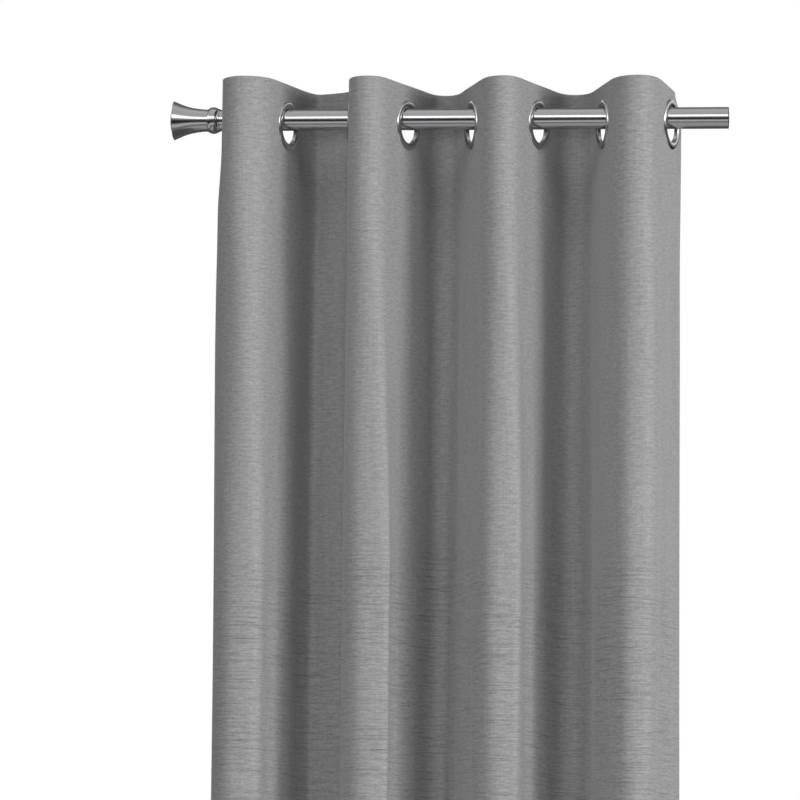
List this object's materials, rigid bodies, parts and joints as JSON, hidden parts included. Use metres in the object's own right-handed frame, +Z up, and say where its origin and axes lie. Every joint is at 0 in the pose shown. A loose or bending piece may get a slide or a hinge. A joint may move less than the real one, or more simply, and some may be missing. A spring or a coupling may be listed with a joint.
{
  "type": "eyelet curtain panel on a rod",
  "caption": "Grey woven eyelet curtain panel hanging in soft folds from a round metal rod with a trumpet finial; the panel draws along the rod.",
  "frame": {"origin": "on the rod's axis at its open end, where a bracket or the next length of rod takes it", "axes": "+Z up, +X along the rod to its open end, -Y towards the room"},
  "size_m": [0.6591, 0.1426, 2.134],
  "materials": {
    "cloth": "slubbed linen-look weave",
    "stiffener": "plain non-woven band",
    "eyelet": "polished",
    "rod": "satin polished",
    "finial": "satin polished",
    "screw": "black oxide"
  },
  "bodies": {
    "rod": {"rod_tube": "rod", "finial_trumpet": "finial", "finial_cap": "finial", "finial_collar": "finial", "collar_screw": "screw"},
    "leaf_1": {"cloth_leaf_1": "cloth", "header_stiffener_1": "stiffener", "eyelet_front_1": "eyelet", "eyelet_back_1": "eyelet"},
    "leaf_2": {"cloth_leaf_2": "cloth", "header_stiffener_2": "stiffener", "eyelet_front_2": "eyelet", "eyelet_back_2": "eyelet"},
    "leaf_3": {"cloth_leaf_3": "cloth", "header_stiffener_3": "stiffener", "eyelet_front_3": "eyelet", "eyelet_back_3": "eyelet"},
    "leaf_4": {"cloth_leaf_4": "cloth", "header_stiffener_4": "stiffener", "eyelet_front_4": "eyelet", "eyelet_back_4": "eyelet"},
    "leaf_5": {"cloth_leaf_5": "cloth", "header_stiffener_5": "stiffener", "eyelet_front_5": "eyelet", "eyelet_back_5": "eyelet"},
    "leaf_6": {"cloth_leaf_6": "cloth", "header_stiffener_6": "stiffener", "eyelet_front_6": "eyelet", "eyelet_back_6": "eyelet"},
    "leaf_7": {"cloth_leaf_7": "cloth", "header_stiffener_7": "stiffener", "eyelet_front_7": "eyelet", "eyelet_back_7": "eyelet"},
    "leaf_8": {"cloth_leaf_8": "cloth", "header_stiffener_8": "stiffener", "eyelet_front_8": "eyelet", "eyelet_back_8": "eyelet"}
  },
  "joints": [
    {"name": "draw", "type": "hinge", "parent": "rod", "child": "leaf_1", "pos_m": [-0.589, 0, 0], "axis": [0, 0, -1], "range_deg": [-2.5, 16.5]},
    {"name": "crest_1_fold", "type": "hinge", "parent": "leaf_1", "child": "leaf_2", "pos_m": [-0.554, -0.06476, 0], "axis": [0, 0, 1], "range_deg": [-5.5, 33.5]},
    {"name": "crest_2_fold", "type": "hinge", "parent": "leaf_2", "child": "leaf_3", "pos_m": [-0.4815, 0.06455, 0], "axis": [0, 0, -1], "range_deg": [-5.5, 33.5]},
    {"name": "crest_3_fold", "type": "hinge", "parent": "leaf_3", "child": "leaf_4", "pos_m": [-0.4105, -0.0691, 0], "axis": [0, 0, 1], "range_deg": [-5.5, 33.5]},
    {"name": "crest_4_fold", "type": "hinge", "parent": "leaf_4", "child": "leaf_5", "pos_m": [-0.33925, 0.07085, 0], "axis": [0, 0, -1], "range_deg": [-5.5, 33.5]},
    {"name": "crest_5_fold", "type": "hinge", "parent": "leaf_5", "child": "leaf_6", "pos_m": [-0.26225, -0.06903, 0], "axis": [0, 0, 1], "range_deg": [-5.5, 33.5]},
    {"name": "crest_6_fold", "type": "hinge", "parent": "leaf_6", "child": "leaf_7", "pos_m": [-0.185, 0.07004, 0], "axis": [0, 0, -1], "range_deg": [-5.5, 33.5]},
    {"name": "crest_7_fold", "type": "hinge", "parent": "leaf_7", "child": "leaf_8", "pos_m": [-0.10725, -0.0671, 0], "axis": [0, 0, 1], "range_deg": [-5.5, 33.5]}
  ],
  "couplings": [
    {"joint": "crest_1_fold", "follows": "draw", "ratio": 2},
    {"joint": "crest_2_fold", "follows": "draw", "ratio": 2},
    {"joint": "crest_3_fold", "follows": "draw", "ratio": 2},
    {"joint": "crest_4_fold", "follows": "draw", "ratio": 2},
    {"joint": "crest_5_fold", "follows": "draw", "ratio": 2},
    {"joint": "crest_6_fold", "follows": "draw", "ratio": 2},
    {"joint": "crest_7_fold", "follows": "draw", "ratio": 2}
  ]
}
